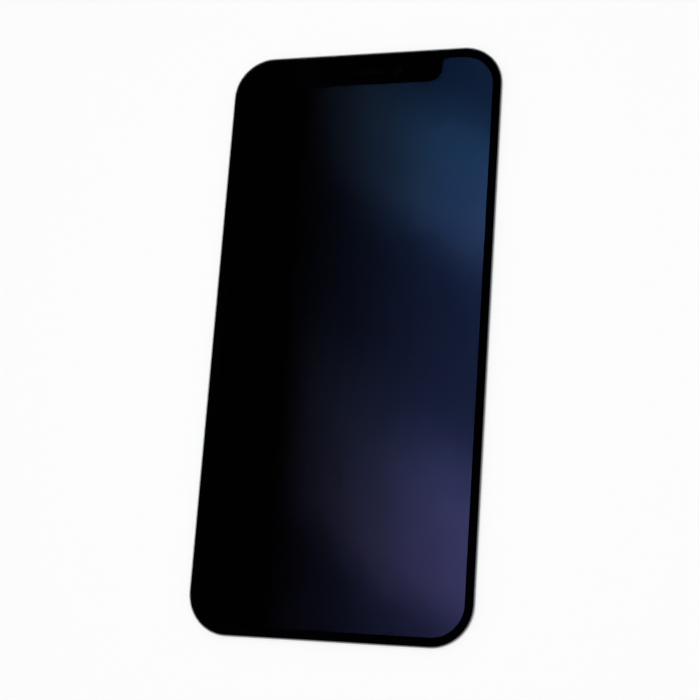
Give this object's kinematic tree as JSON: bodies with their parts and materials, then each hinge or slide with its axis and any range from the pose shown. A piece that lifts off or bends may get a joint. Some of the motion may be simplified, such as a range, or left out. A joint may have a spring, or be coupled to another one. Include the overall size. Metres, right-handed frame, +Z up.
{
  "type": "phone privacy screen protector",
  "caption": "Thin rounded rectangular privacy glass for a phone screen: clear glass and a notched black border over a louvre film that turns black from the side, sticky underneath.",
  "frame": {"origin": "middle of the adhesive underside, which is also what the sheet lies on", "axes": "+X to the right across the sheet, +Y along it towards the notch, +Z up out of the glass face"},
  "size_m": [0.069, 0.1438, 0.0008],
  "materials": {
    "clear_glass": "polished, with a blue-violet anti-glare coating",
    "black_print": "opaque black screen print, glossy through the glass",
    "bonding_adhesive": "clear",
    "film_resin": "clear with a blue to violet tint",
    "louvre_resin": "matt black",
    "silicone_adhesive": "clear, slightly soft"
  },
  "bodies": {
    "root": {"cover_glass": "clear_glass", "black_border": "black_print", "bonding_layer": "bonding_adhesive", "privacy_film": "film_resin", "louvres": "louvre_resin", "adhesive_layer": "silicone_adhesive"}
  },
  "joints": []
}
